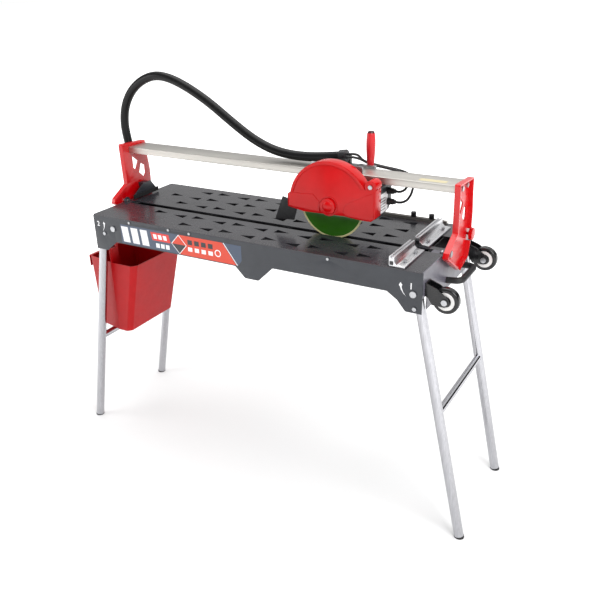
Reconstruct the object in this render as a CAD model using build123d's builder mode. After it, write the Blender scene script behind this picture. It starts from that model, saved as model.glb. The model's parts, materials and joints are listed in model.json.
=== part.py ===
"""Bridge tile saw on folding legs: a sliding, tilting cutting head over a perforated table."""
import os
from math import cos, pi, radians, sin, tan

from build123d import *

# Driving dimensions, in millimetres. The origin is on the floor, midway between the feet.
TABLE_LENGTH = 1114
TABLE_WIDTH = 397
TABLE_TOP = 800
SHEET = 2.5
PLATE = 3
LEFT = -561.5
RIGHT = LEFT + TABLE_LENGTH
FRONT = -TABLE_WIDTH / 2
BACK = TABLE_WIDTH / 2
PLATE_UNDER = TABLE_TOP - PLATE
SKIRT_LOW = TABLE_TOP - 115
FIT = 0.1
GAP = 0.3

# Legs
TUBE_R = 14
TUBE_WALL = 1.5
TUBE_Y = FRONT + 19.6
FOOT_X = 692.25
LEFT_LEAN = 11.46
RIGHT_LEAN = 12.2
LEFT_PIVOT = (LEFT + 79.6, 761.7)
RIGHT_PIVOT = (LEFT + 1089.5, 737.5)
LEFT_LOCK = (LEFT + 40.9, 741.4)
RIGHT_LOCK = (LEFT + 1094.2, 696.8)
LEFT_CROSSBAR_Z = 340
RIGHT_CROSSBAR_Z = 393
CROSSBAR_R = 11
CAP_FLOOR = 5
PLUG_HEIGHT = 25
BOLT_R = 5

# Bridge
GROOVE_Y = FRONT + 160
GROOVE_W = 22
TILT_Z = TABLE_TOP - 1
BEAM_FRONT = FRONT + 207
BEAM_BACK = FRONT + 285
BEAM_LOW = 951
BEAM_TOP = 971
WEB = 4
WEB_OUT = 9
FLANGE = 12

# Cutting head
BLADE_R = 100
BLADE_X = LEFT + 775
BLADE_Z = 891
BLADE_T = 2.2
GUARD_R = 126
GUARD_WALL = 3
GUARD_FRONT = FRONT + 138
GUARD_BACK = FRONT + 175
MOTOR_LEFT = LEFT + 700
MOTOR_RIGHT = LEFT + 900
MOTOR_FRONT = FRONT + 178
MOTOR_BACK = FRONT + 290
MOTOR_LOW = 856
MOTOR_TOP = 938
ROLLER_R = 11
ROLLER_Z = BEAM_TOP + ROLLER_R + 0.05
HANDLE = (LEFT + 823, FRONT + 312)

# Wheels, bin and hose
WHEEL_X = LEFT + 1167
WHEEL_Z = 723
WHEEL_R = 35.5
WHEEL_W = 22
BIN_RIM = 620
BIN_LOW = 368
HOSE_R = 14
CABLE_R = 3.5

os.makedirs("parts", exist_ok=True)


def save(piece, name):
    """Label a finished piece and write its STEP file."""
    piece.part.label = name
    export_step(piece.part, f"parts/{name}.step")


def front_plane(y):
    """A plane at depth y whose sketch axes are X and Z and whose normal points to the front."""
    return Plane.XZ.offset(-y)


def end_plane(x):
    """A plane at x whose sketch axes are Y and Z and whose normal points to the right."""
    return Plane.YZ.offset(x)


def bend_radii(points):
    """The arc at each corner: 0.45 of its shorter run over the tangent of half the turn."""
    radii = []
    for before, here, after in zip(points, points[1:], points[2:]):
        run_in = Vector(*here) - Vector(*before)
        run_out = Vector(*after) - Vector(*here)
        half_turn = radians(run_in.get_angle(run_out)) / 2
        radii.append(0.45 * min(run_in.length, run_out.length) / tan(half_turn))
    return radii


def tube_along(points, radius, name):
    """A round cord along straight runs joined by tangent arcs."""
    radii = bend_radii(points)
    with BuildLine(mode=Mode.PRIVATE) as route:
        FilletPolyline(*points, radius=radii)
    path = route.wires()[0]
    with BuildPart() as cord:
        with BuildSketch(Plane(origin=path @ 0, z_dir=path % 0)):
            Circle(radius)
        sweep(path=path)
    section = pi * radius ** 2
    print(name, "length", round(path.length, 1), "radii", [round(r) for r in radii])
    print(name, "volume ratio", round(cord.part.volume / (section * path.length), 4))
    return cord


# Table: two skirts, two end plates, a perforated top in two halves and the water tray.
SCREW_X = (150, 304, 382, 844)
SKIRT_BOTTOM = ((1114, 685), (1069, 685), (1045, 714), (1016, 733), (668, 733), (619, 686),
                (573, 686), (541, 718), (86, 718), (45, 685), (0, 685))


def skirt(y_outer, y_inner):
    """A folded side sheet with three deep lobes, drilled for the leg and table fasteners."""
    corners = [(LEFT, PLATE_UNDER)] + [(RIGHT, PLATE_UNDER)]
    corners += [(LEFT + x, z) for x, z in SKIRT_BOTTOM]
    with BuildPart() as sheet:
        with BuildSketch(front_plane(max(y_outer, y_inner))) as outline:
            Polygon(*corners, align=None)
            inner = outline.vertices().filter_by_position(Axis.X, LEFT + 20, RIGHT - 20)
            fillet(inner, radius=10)
        extrude(amount=SHEET)
        with BuildSketch(front_plane(max(y_outer, y_inner))):
            with Locations(LEFT_PIVOT, RIGHT_PIVOT):
                Circle(BOLT_R)
            with Locations(LEFT_LOCK, RIGHT_LOCK):
                Circle(3)
            with Locations(*[(LEFT + x, TABLE_TOP - 8) for x in SCREW_X]):
                Circle(2)
        extrude(amount=SHEET, mode=Mode.SUBTRACT)
    return sheet


front_skirt = skirt(FRONT, FRONT + SHEET)
save(front_skirt, "front_skirt")
rear_skirt = skirt(BACK, BACK - SHEET)
save(rear_skirt, "rear_skirt")

END_Y = TABLE_WIDTH / 2 - SHEET
LEG_BAY = TABLE_WIDTH / 2 - 37


def end_outline(bay_height):
    """Half-sections of an end plate: full height inside, cut away over both legs."""
    return [(-END_Y, TABLE_TOP), (-END_Y, bay_height), (-LEG_BAY, bay_height),
            (-LEG_BAY, SKIRT_LOW), (LEG_BAY, SKIRT_LOW), (LEG_BAY, bay_height),
            (END_Y, bay_height), (END_Y, TABLE_TOP)]


PIN_EAR_R = 14
HOOK_Y = (FRONT + 62, FRONT + 265)
HOOK_Z = 690
with BuildPart() as left_end_plate:
    with BuildSketch(end_plane(LEFT)):
        Polygon(*end_outline(732), align=None)
        with Locations((GROOVE_Y, TILT_Z)):
            Circle(PIN_EAR_R)
            Circle(BOLT_R, mode=Mode.SUBTRACT)
    extrude(amount=SHEET)
    with BuildSketch(front_plane(GROOVE_Y + GROOVE_W / 2)):
        Polygon((LEFT, PLATE_UNDER - 14), (LEFT + 21, PLATE_UNDER - 14), (LEFT + 21, TABLE_TOP),
                (LEFT + 13, TABLE_TOP), (LEFT + 13, PLATE_UNDER - 11),
                (LEFT, PLATE_UNDER - 11), align=None)
    extrude(amount=GROOVE_W)
    for hook_y in HOOK_Y:
        with BuildSketch(front_plane(hook_y + 8)):
            Polygon((LEFT, HOOK_Z), (LEFT + 14, HOOK_Z), (LEFT + 14, HOOK_Z + 11),
                    (LEFT + 11, HOOK_Z + 11), (LEFT + 11, HOOK_Z + 3), (LEFT, HOOK_Z + 3),
                    align=None)
        extrude(amount=16)
save(left_end_plate, "left_end_plate")

LOCK_Y = FRONT + 305
LOCK_Z = 812
with BuildPart() as right_end_plate:
    with BuildSketch(end_plane(RIGHT - SHEET)):
        Polygon(*end_outline(728), align=None)
        with Locations((GROOVE_Y, TILT_Z)):
            Circle(PIN_EAR_R)
            Circle(BOLT_R, mode=Mode.SUBTRACT)
        with Locations((LOCK_Y, LOCK_Z)):
            Circle(16)
            Rectangle(32, 30, align=(Align.CENTER, Align.MAX))
            Circle(4.3, mode=Mode.SUBTRACT)
    extrude(amount=SHEET)
    with BuildSketch(front_plane(GROOVE_Y + GROOVE_W / 2)):
        Polygon((RIGHT, PLATE_UNDER - 14), (RIGHT - 36, PLATE_UNDER - 14),
                (RIGHT - 36, TABLE_TOP), (RIGHT - 13, TABLE_TOP), (RIGHT - 13, PLATE_UNDER - 11),
                (RIGHT, PLATE_UNDER - 11), align=None)
    extrude(amount=GROOVE_W)
save(right_end_plate, "right_end_plate")

PITCH = 74.5
DRAIN_LENGTH = 46
DRAIN_WIDTH = 26
FENCE_SCREWS = {"front": (FRONT + 40, FRONT + 112), "rear": (FRONT + 205, FRONT + 325)}
FENCE_SCREW_X = LEFT + 1049
RULE_Y = FRONT + 386
RULE_KNOB_X = (LEFT + 934, LEFT + 991)


def table_plate(y_low, y_high, rows, drilled, window):
    """Half of the table top with staggered drain holes that point left and right in turn."""
    with BuildPart() as plate:
        with BuildSketch(Plane.XY.offset(PLATE_UNDER)):
            with Locations((LEFT + TABLE_LENGTH / 2, (y_low + y_high) / 2)):
                Rectangle(TABLE_LENGTH - 2 * SHEET, y_high - y_low)
            for start, y, count, first in rows:
                for i in range(count):
                    x = LEFT + start + i * PITCH
                    way = 1 if (i + first) % 2 else -1
                    depth = FRONT + y - 3.5 * way
                    Polygon((x - way * DRAIN_LENGTH / 2, depth),
                            (x + way * DRAIN_LENGTH / 2, depth - DRAIN_WIDTH / 2),
                            (x + way * DRAIN_LENGTH / 2, depth + DRAIN_WIDTH / 2),
                            align=None, mode=Mode.SUBTRACT)
            with Locations(*[(FENCE_SCREW_X, y) for y in drilled]):
                Circle(2.5, mode=Mode.SUBTRACT)
            if window:
                with Locations((LEFT + 1083, FRONT + 238)):
                    Rectangle(42, 92, mode=Mode.SUBTRACT)
                with Locations(*[(x, RULE_Y) for x in RULE_KNOB_X]):
                    Circle(3 + FIT, mode=Mode.SUBTRACT)
        extrude(amount=PLATE)
    return plate


front_table_plate = table_plate(FRONT, GROOVE_Y - GROOVE_W / 2,
                                ((188.7, 110, 11, 0), (337.4, 41, 9, 0)),
                                FENCE_SCREWS["front"], False)
save(front_table_plate, "front_table_plate")
rear_table_plate = table_plate(GROOVE_Y + GROOVE_W / 2, BACK,
                               ((190.5, 217, 11, 0), (116, 285, 12, 0), (190.5, 353, 11, 1)),
                               FENCE_SCREWS["rear"], True)
save(rear_table_plate, "rear_table_plate")

TRAY_LOW = 754
TRAY_LEFT = LEFT + 46
TRAY_RIGHT = LEFT + 1068
TRAY_Y = 152
DRAIN_X = LEFT + 78
with BuildPart() as water_tray:
    with BuildSketch(Plane.XY.offset(TRAY_LOW)):
        with Locations(((TRAY_LEFT + TRAY_RIGHT) / 2, 0)):
            Rectangle(TRAY_RIGHT - TRAY_LEFT, 2 * TRAY_Y)
    extrude(amount=PLATE_UNDER - TRAY_LOW)
    with BuildSketch(Plane.XY.offset(TRAY_LOW + 2)):
        with Locations(((TRAY_LEFT + TRAY_RIGHT) / 2, 0)):
            Rectangle(TRAY_RIGHT - TRAY_LEFT - 4, 2 * TRAY_Y - 4)
    extrude(amount=PLATE_UNDER - TRAY_LOW - 2, mode=Mode.SUBTRACT)
    with BuildSketch(Plane.XY.offset(TRAY_LOW - 40)):
        with Locations((DRAIN_X, FRONT + 160)):
            Circle(16)
    extrude(amount=41)
    with BuildSketch(Plane.XY.offset(TRAY_LOW - 40)):
        with Locations((DRAIN_X, FRONT + 160)):
            Circle(13.5)
    extrude(amount=43, mode=Mode.SUBTRACT)
save(water_tray, "water_tray")


def fence(y_low, y_high, x_low, drilled):
    """A length of grooved stop extrusion: a tall ridge with a screwed foot flange."""
    with BuildPart() as extrusion:
        with BuildSketch(front_plane(y_high)):
            Polygon((x_low, TABLE_TOP), (LEFT + 1062, TABLE_TOP), (LEFT + 1062, TABLE_TOP + 5),
                    (x_low + 22, TABLE_TOP + 7), (x_low + 15, TABLE_TOP + 14),
                    (x_low + 15, TABLE_TOP + 28), (x_low + 10, TABLE_TOP + 28),
                    (x_low + 10, TABLE_TOP + 24), (x_low + 5, TABLE_TOP + 24),
                    (x_low + 5, TABLE_TOP + 28), (x_low, TABLE_TOP + 28), align=None)
            with Locations((x_low + 7.5, TABLE_TOP + 11)):
                Rectangle(9, 10, mode=Mode.SUBTRACT)
        extrude(amount=y_high - y_low)
        with BuildSketch(Plane.XY.offset(TABLE_TOP)):
            with Locations(*[(FENCE_SCREW_X, y) for y in drilled]):
                Circle(2.5)
        extrude(amount=10, mode=Mode.SUBTRACT)
    return extrusion


front_fence = fence(FRONT + 4, FRONT + 145, LEFT + 1018, FENCE_SCREWS["front"])
save(front_fence, "front_fence")
rear_fence = fence(FRONT + 175, FRONT + 355, LEFT + 1021, FENCE_SCREWS["rear"])
save(rear_fence, "rear_fence")

with BuildPart() as frame_screws:
    for side in (-1, 1):
        for x in SCREW_X:
            with BuildSketch(Plane.XZ.offset(-side * BACK)):
                with Locations((LEFT + x, TABLE_TOP - 8)):
                    Circle(4)
            extrude(amount=-side * 2.5)
            with BuildSketch(Plane.XZ.offset(-side * BACK)):
                with Locations((LEFT + x, TABLE_TOP - 8)):
                    Circle(2)
            extrude(amount=side * 8)
    for y in FENCE_SCREWS["front"] + FENCE_SCREWS["rear"]:
        with BuildSketch(Plane.XY.offset(TABLE_TOP + 8)):
            with Locations((FENCE_SCREW_X, y)):
                Circle(5)
        extrude(amount=3.5)
        with BuildSketch(Plane.XY.offset(TABLE_TOP + 8)):
            with Locations((FENCE_SCREW_X, y)):
                Circle(2.5)
        extrude(amount=-16)
save(frame_screws, "frame_screws")

with BuildPart() as leg_bolts:
    for side in (-1, 1):
        for pivot in (LEFT_PIVOT, RIGHT_PIVOT):
            with BuildSketch(Plane.XZ.offset(-side * BACK)):
                with Locations(pivot):
                    Circle(9)
            extrude(amount=-side * 3.5)
            with BuildSketch(Plane.XZ.offset(-side * BACK)):
                with Locations(pivot):
                    Circle(BOLT_R)
            extrude(amount=side * 41)
            with BuildSketch(Plane.XZ.offset(-side * (BACK - 34.5))):
                with Locations(pivot):
                    RegularPolygon(9, 6)
            extrude(amount=side * 6.5)
        for lock in (LEFT_LOCK, RIGHT_LOCK):
            with BuildSketch(Plane.XZ.offset(-side * BACK)):
                with Locations(lock):
                    Circle(5.5)
            extrude(amount=-side * 3)
            with BuildSketch(Plane.XZ.offset(-side * BACK)):
                with Locations(lock):
                    Circle(3)
            extrude(amount=side * 5)
save(leg_bolts, "leg_bolts")


# Legs: chrome tubes that fold inwards, with a welded crossbar and rubber foot plugs.
def leg_plane(foot_x, lean, y):
    """A plane at a foot whose normal runs up the leg."""
    toward = -1 if foot_x > 0 else 1
    along = (toward * sin(radians(lean)), 0, cos(radians(lean)))
    return Plane(origin=(foot_x, y, 0), x_dir=(0, 1, 0), z_dir=along)


def foot_to(foot_x, lean, height):
    """X of a leg's centre line at a height."""
    toward = -1 if foot_x > 0 else 1
    return foot_x + toward * height * tan(radians(lean))


def leg(foot_x, lean, y, top, pivot):
    """A leg tube drilled or plated for its pivot bolt."""
    with BuildPart() as tube:
        with BuildSketch(leg_plane(foot_x, lean, y).offset(CAP_FLOOR)):
            Circle(TUBE_R)
            Circle(TUBE_R - TUBE_WALL, mode=Mode.SUBTRACT)
        extrude(amount=top)
        if abs(foot_to(foot_x, lean, pivot[1]) - pivot[0]) > TUBE_R:
            for side in (-1, 1):
                with BuildSketch(front_plane(y + side * 11.5 + 1.5)):
                    with Locations(pivot):
                        Circle(13)
                    with Locations((foot_to(foot_x, lean, 776), 776),
                                   (foot_to(foot_x, lean, 738), 738)):
                        Circle(6)
                    make_hull()
                    with Locations(pivot):
                        Circle(BOLT_R + FIT, mode=Mode.SUBTRACT)
                extrude(amount=3)
            with BuildSketch(leg_plane(foot_x, lean, y)):
                Circle(TUBE_R - TUBE_WALL)
            extrude(amount=top, mode=Mode.SUBTRACT)
        else:
            with BuildSketch(front_plane(y + 20)):
                with Locations(pivot):
                    Circle(BOLT_R + FIT)
            extrude(amount=40, mode=Mode.SUBTRACT)
    return tube


def crossbar(foot_x, lean, height):
    """A round bar between two legs, coped to the tubes that it is welded to."""
    with BuildPart() as bar:
        with BuildSketch(front_plane(-TUBE_Y)):
            with Locations((foot_to(foot_x, lean, height), height)):
                Circle(CROSSBAR_R)
        extrude(amount=-2 * TUBE_Y)
        for y in (TUBE_Y, -TUBE_Y):
            with BuildSketch(leg_plane(foot_x, lean, y)):
                Circle(TUBE_R)
            extrude(amount=700, mode=Mode.SUBTRACT)
    return bar


def feet(foot_x, lean):
    """The two rubber plugs of one pair of legs, flat on the floor."""
    with BuildPart() as caps:
        for y in (TUBE_Y, -TUBE_Y):
            with BuildSketch(leg_plane(foot_x, lean, y).offset(-8)):
                Circle(TUBE_R + 0.4)
            extrude(amount=CAP_FLOOR + 8)
        split(bisect_by=Plane.XY, keep=Keep.TOP)
        for y in (TUBE_Y, -TUBE_Y):
            with BuildSketch(leg_plane(foot_x, lean, y).offset(CAP_FLOOR)):
                Circle(TUBE_R - TUBE_WALL)
            extrude(amount=PLUG_HEIGHT)
    return caps


LEFT_TUBE = 786
RIGHT_TUBE = 759
for side, lean, top, pivot, height in (("left", LEFT_LEAN, LEFT_TUBE, LEFT_PIVOT, LEFT_CROSSBAR_Z),
                                       ("right", RIGHT_LEAN, RIGHT_TUBE, RIGHT_PIVOT,
                                        RIGHT_CROSSBAR_Z)):
    foot_x = -FOOT_X if side == "left" else FOOT_X
    save(leg(foot_x, lean, TUBE_Y, top, pivot), f"{side}_front_leg")
    save(leg(foot_x, lean, -TUBE_Y, top, pivot), f"{side}_rear_leg")
    save(crossbar(foot_x, lean, height), f"{side}_crossbar")
    save(feet(foot_x, lean), f"{side}_feet")

# Right end: carrying handle and two transport wheels in forks.
with BuildPart() as carry_handle:
    with BuildLine() as bail:
        FilletPolyline((RIGHT, FRONT + 186, 712), (RIGHT + 40, FRONT + 190, 714),
                       (RIGHT + 40, FRONT + 310, 714), (RIGHT, FRONT + 314, 712), radius=20)
    bail_path = bail.wires()[0]
    with BuildSketch(Plane(origin=bail_path @ 0, z_dir=bail_path % 0)):
        Circle(9)
    sweep(path=bail_path)
    split(bisect_by=end_plane(RIGHT), keep=Keep.TOP)
save(carry_handle, "carry_handle")


def wheel_bracket(side):
    """A fork on the end plate: a base plate and two arms that clear the leg beside it."""
    middle = side * (TABLE_WIDTH / 2 - 34)
    with BuildPart() as fork:
        with BuildSketch(end_plane(RIGHT)):
            with Locations((middle, 749)):
                Rectangle(34, 36)
        extrude(amount=3)
        for arm in (-1, 1):
            y = middle + arm * 15.5
            with BuildSketch(front_plane(y + 1.5)):
                Polygon((RIGHT, 731), (RIGHT + 8, 729), (RIGHT + 20, 710), (WHEEL_X, 709),
                        (WHEEL_X + 8, 712), (WHEEL_X + 14, WHEEL_Z), (WHEEL_X + 8, 735),
                        (RIGHT + 30, 756), (RIGHT, 767), align=None)
                with Locations((WHEEL_X, WHEEL_Z)):
                    Circle(4, mode=Mode.SUBTRACT)
            extrude(amount=3)
    return fork


with BuildPart() as wheel_brackets:
    add(wheel_bracket(-1).part)
    add(wheel_bracket(1).part)
save(wheel_brackets, "wheel_brackets")

with BuildPart() as wheel_axles:
    for side in (-1, 1):
        middle = side * (TABLE_WIDTH / 2 - 34)
        with BuildSketch(front_plane(middle + 21)):
            with Locations((WHEEL_X, WHEEL_Z)):
                Circle(4)
        extrude(amount=42)
        for end in (-1, 1):
            with BuildSketch(front_plane(middle + end * 19 + 2)):
                with Locations((WHEEL_X, WHEEL_Z)):
                    Circle(8)
            extrude(amount=4)
save(wheel_axles, "wheel_axles")


def wheel_ring(side, outer, inner, width):
    """A ring centred on one wheel."""
    middle = side * (TABLE_WIDTH / 2 - 34)
    with BuildPart() as ring:
        with BuildSketch(front_plane(middle + width / 2)):
            with Locations((WHEEL_X, WHEEL_Z)):
                Circle(outer)
                Circle(inner, mode=Mode.SUBTRACT)
        extrude(amount=width)
    return ring


for side, name in ((-1, "front"), (1, "rear")):
    tyre = wheel_ring(side, WHEEL_R, WHEEL_R - 11, WHEEL_W)
    with tyre:
        fillet(tyre.edges().filter_by(GeomType.CIRCLE).group_by(SortBy.RADIUS)[-1], radius=6)
    save(tyre, f"{name}_tyre")
    save(wheel_ring(side, WHEEL_R - 11, 4 + FIT, WHEEL_W), f"{name}_wheel_hub")

# Rear rule: a slotted bar under two clamp knobs.
with BuildPart() as rule_bar:
    with BuildSketch(Plane.XY.offset(TABLE_TOP + GAP)):
        with Locations((LEFT + 915, RULE_Y)):
            Rectangle(250, 11)
            SlotOverall(230, 6.8, mode=Mode.SUBTRACT)
    extrude(amount=10)
save(rule_bar, "rule_bar")

for knob_x, side in zip(RULE_KNOB_X, ("left", "right")):
    with BuildPart() as rule_knob:
        with BuildSketch(Plane.XY.offset(PLATE_UNDER)):
            with Locations((knob_x, RULE_Y)):
                Circle(3)
        extrude(amount=16)
        with BuildSketch(Plane.XY.offset(TABLE_TOP + 10 + 2 * GAP)):
            with Locations((knob_x, RULE_Y)):
                Circle(8)
                with PolarLocations(8, 6):
                    Circle(1.6, mode=Mode.SUBTRACT)
        extrude(amount=14)
    save(rule_knob, f"rule_knob_{side}")

# Tilting bridge: two flanged uprights on end pins carry the aluminium beam.
with BuildPart() as bridge_pins:
    for side, face in ((-1, LEFT), (1, RIGHT)):
        for start, radius, length in ((-7, BOLT_R, 22), (WEB_OUT + WEB + GAP, 9, 5),
                                      (0, 9, WEB_OUT - GAP), (-9, 8, 6)):
            with BuildSketch(end_plane(face + side * start)):
                with Locations((GROOVE_Y, TILT_Z)):
                    Circle(radius)
            extrude(amount=side * length)
save(bridge_pins, "bridge_pins")

UPRIGHT = ((178, 984), (182, 850), (118, 815), (112, 800), (222, 731), (286, 750), (300, 790),
           (301, 879), (294, 930), (291, 978))
WINDOWS = (((220, 938), (246, 916), (230, 888), (220, 898)),
           ((258, 906), (277, 894), (277, 868), (268, 856), (246, 876)))


def upright(side):
    """A pressed upright: a web with a rim turned outwards, two windows and a kite-shaped foot."""
    inner = LEFT - WEB_OUT if side == "left" else RIGHT + WEB_OUT
    out = -1 if side == "left" else 1
    outline = [(FRONT + y, z) for y, z in UPRIGHT]
    with BuildPart() as pressing:
        for start, shrink, depth in ((0, 0, WEB + FLANGE), (WEB, WEB, FLANGE)):
            with BuildSketch(end_plane(inner + out * start)) as web:
                Polygon(*outline, align=None)
                if side == "right":
                    with Locations((LOCK_Y, LOCK_Z)):
                        Circle(16)
                fillet(web.vertices(), radius=5)
                if shrink:
                    offset(amount=-shrink, mode=Mode.REPLACE)
                    if side == "right":
                        with Locations((LOCK_Y, LOCK_Z)):
                            Circle(19)
            extrude(amount=out * depth, mode=Mode.SUBTRACT if shrink else Mode.ADD)
        with BuildSketch(end_plane(inner)):
            for window in WINDOWS:
                Polygon(*[(FRONT + y, z) for y, z in window], align=None)
            with Locations((GROOVE_Y, TILT_Z)):
                Circle(BOLT_R + FIT)
            with Locations((FRONT + 225, 961), (FRONT + 267, 961)):
                Circle(4)
            if side == "right":
                with Locations((LOCK_Y, LOCK_Z)):
                    Circle(4 + FIT)
        extrude(amount=out * WEB, mode=Mode.SUBTRACT)
    return pressing


save(upright("left"), "left_upright")
save(upright("right"), "right_upright")

BEAM_LEFT = LEFT - WEB_OUT
BEAM_RIGHT = RIGHT + WEB_OUT
with BuildPart() as beam:
    with BuildSketch(end_plane(BEAM_LEFT)):
        with Locations(((BEAM_FRONT + BEAM_BACK) / 2, (BEAM_LOW + BEAM_TOP) / 2)):
            Rectangle(BEAM_BACK - BEAM_FRONT, BEAM_TOP - BEAM_LOW)
            Rectangle(26, 15, mode=Mode.SUBTRACT)
        with Locations((FRONT + 221, 961), (FRONT + 271, 961)):
            Rectangle(22, 15, mode=Mode.SUBTRACT)
        with Locations((FRONT + 225, 961), (FRONT + 267, 961)):
            Rectangle(14, 15)
            Circle(4, mode=Mode.SUBTRACT)
    extrude(amount=BEAM_RIGHT - BEAM_LEFT)
save(beam, "beam")

with BuildPart() as beam_bolts:
    for side, face in ((-1, BEAM_LEFT), (1, BEAM_RIGHT)):
        for start, radius, length in ((WEB, 7, 5), (-20, 4, 20 + WEB)):
            with BuildSketch(end_plane(face + side * start)):
                with Locations((FRONT + 225, 961), (FRONT + 267, 961)):
                    Circle(radius)
            extrude(amount=side * length)
save(beam_bolts, "beam_bolts")

with BuildPart() as lock_knob:
    web_face = RIGHT + WEB_OUT + WEB
    with BuildSketch(end_plane(RIGHT + GAP)):
        with Locations((LOCK_Y, LOCK_Z)):
            Circle(4)
    extrude(amount=WEB_OUT + WEB + 8)
    with BuildSketch(end_plane(web_face + 7)):
        with Locations((LOCK_Y, LOCK_Z)):
            Circle(17)
            with PolarLocations(19.5, 9):
                Circle(4, mode=Mode.SUBTRACT)
    extrude(amount=10)
save(lock_knob, "lock_knob")

with BuildPart() as splash_deflector:
    with BuildSketch(end_plane(LEFT + 14)):
        Polygon((FRONT + 178, 812), (FRONT + 296, 812), (FRONT + 269, 846), (FRONT + 226, 842),
                align=None)
    extrude(amount=3)
    with BuildSketch(end_plane(BEAM_LEFT)):
        with Locations((FRONT + 250, 838)):
            Rectangle(30, 12)
    extrude(amount=23)
save(splash_deflector, "splash_deflector")

with BuildPart() as deflector_lip:
    with BuildSketch(end_plane(LEFT + 17)):
        with Locations((FRONT + 238, 810.5)):
            Rectangle(124, 13)
    extrude(amount=4)
save(deflector_lip, "deflector_lip")

HOSE_ROUTE = [(-41, 249, 955), (-51, 250, 1000), (-53, 250, 1047), (-40, 250, 1098),
              (-9, 251, 1145), (37, 252, 1180), (94, 253, 1200), (154, 255, 1194),
              (225, 257, 1166), (300, 259, 1125), (378, 261, 1071), (455, 263, 1023),
              (528, 264, 996), (602, 265, 988), (682, 265, 992), (763, 265, 1004)]


def placed(route):
    """A route measured from the table's front left corner, in the part's frame."""
    return [(LEFT + x, FRONT + y, z) for x, y, z in route]


hose_points = placed(HOSE_ROUTE)
save(tube_along(hose_points, HOSE_R, "hose"), "hose")

hose_start = Vector(*hose_points[0])
start_way = (Vector(*hose_points[1]) - hose_start).normalized()
with BuildPart() as hose_gland:
    with BuildSketch(Plane(origin=hose_start, z_dir=start_way.reverse())):
        Circle(HOSE_R + 3)
    extrude(amount=26)
    with BuildSketch(end_plane(LEFT - WEB_OUT - WEB)):
        with Locations((FRONT + 249, 944)):
            Rectangle(18, 14)
    extrude(amount=-18)
save(hose_gland, "hose_gland")

# Cutting head: carriage on rollers, motor, guard, handle and the blade.
CARRIAGE_LEFT = LEFT + 690
CARRIAGE_RIGHT = LEFT + 850
FRONT_WALL = FRONT + 198
REAR_WALL = FRONT + 290
ROLLERS = (("roller_left", LEFT + 705), ("roller_right", LEFT + 825))
with BuildPart() as carriage_frame:
    with BuildSketch(end_plane(CARRIAGE_LEFT)):
        Polygon((FRONT_WALL, MOTOR_TOP), (REAR_WALL + 4, MOTOR_TOP), (REAR_WALL + 4, 978),
                (REAR_WALL - 8, 978), (REAR_WALL - 8, BEAM_TOP + GAP),
                (REAR_WALL, BEAM_TOP + GAP), (REAR_WALL, MOTOR_TOP + 5),
                (FRONT_WALL + 4, MOTOR_TOP + 5),
                (FRONT_WALL + 4, 996), (FRONT_WALL, 996), align=None)
    extrude(amount=CARRIAGE_RIGHT - CARRIAGE_LEFT)
    with BuildSketch(Plane.XY.offset(MOTOR_TOP)):
        with Locations((HANDLE[0], FRONT + 303)):
            Rectangle(30, 34)
    extrude(amount=5)
    with BuildSketch(front_plane(FRONT_WALL + 4)):
        with Locations(*[(x, ROLLER_Z) for name, x in ROLLERS]):
            Circle(3)
    extrude(amount=-10)
save(carriage_frame, "carriage_frame")

for name, x in ROLLERS:
    with BuildPart() as roller:
        with BuildSketch(front_plane(FRONT + 208)):
            with Locations((x, ROLLER_Z)):
                Circle(ROLLER_R)
                Circle(3.05, mode=Mode.SUBTRACT)
        extrude(amount=-5)
    save(roller, name)

HOUSING = ((MOTOR_FRONT, MOTOR_TOP), (MOTOR_FRONT, MOTOR_LOW), (FRONT + 225, MOTOR_LOW),
           (FRONT + 272, MOTOR_LOW + 7), (MOTOR_BACK, 880), (MOTOR_BACK, MOTOR_TOP))
SWITCH = (LEFT + 745, 905)
HOUSING_WALL = 4
with BuildPart() as motor_housing:
    with BuildSketch(end_plane(MOTOR_LEFT)):
        Polygon(*HOUSING, align=None)
    extrude(amount=MOTOR_RIGHT - MOTOR_LEFT)
    with BuildSketch(end_plane(MOTOR_LEFT + HOUSING_WALL)):
        Polygon(*HOUSING, align=None)
        offset(amount=-HOUSING_WALL, mode=Mode.REPLACE)
    extrude(amount=MOTOR_RIGHT - MOTOR_LEFT - 2 * HOUSING_WALL, mode=Mode.SUBTRACT)
    for y, deep in ((MOTOR_FRONT + 4, -8), (MOTOR_BACK - 4, 8)):
        with BuildSketch(front_plane(y)):
            with Locations((BLADE_X, BLADE_Z)):
                Circle(20)
        extrude(amount=deep)
    for y, deep in ((MOTOR_FRONT + 12, 8), (MOTOR_BACK - 4, 8)):
        with BuildSketch(front_plane(y)):
            with Locations((BLADE_X, BLADE_Z)):
                Circle(16)
        extrude(amount=deep, mode=Mode.SUBTRACT)
    with BuildSketch(front_plane(MOTOR_FRONT + 6)):
        with Locations((BLADE_X, BLADE_Z)):
            Circle(8)
    extrude(amount=8, mode=Mode.SUBTRACT)
    with BuildSketch(front_plane(MOTOR_BACK + 1)):
        with Locations(SWITCH):
            Rectangle(18, 26)
    extrude(amount=6, mode=Mode.SUBTRACT)
    with BuildSketch(end_plane(MOTOR_RIGHT - 5)):
        with Locations((FRONT + 265, 918), (FRONT + 265, 887)):
            Circle(6)
    extrude(amount=6, mode=Mode.SUBTRACT)
save(motor_housing, "motor_housing")

with BuildPart() as switch_rocker:
    with BuildSketch(end_plane(SWITCH[0] - 7)):
        with Locations((MOTOR_BACK - 2.5, SWITCH[1])):
            Circle(10)
        with Locations((MOTOR_BACK - 14, SWITCH[1])):
            Rectangle(19, 30, mode=Mode.SUBTRACT)
    extrude(amount=14)
save(switch_rocker, "switch_rocker")

with BuildPart() as motor_stator:
    with BuildSketch(front_plane(FRONT + 262)):
        with Locations((BLADE_X, BLADE_Z)):
            Circle(25)
            Circle(19, mode=Mode.SUBTRACT)
    extrude(amount=56)
save(motor_stator, "motor_stator")

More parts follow.
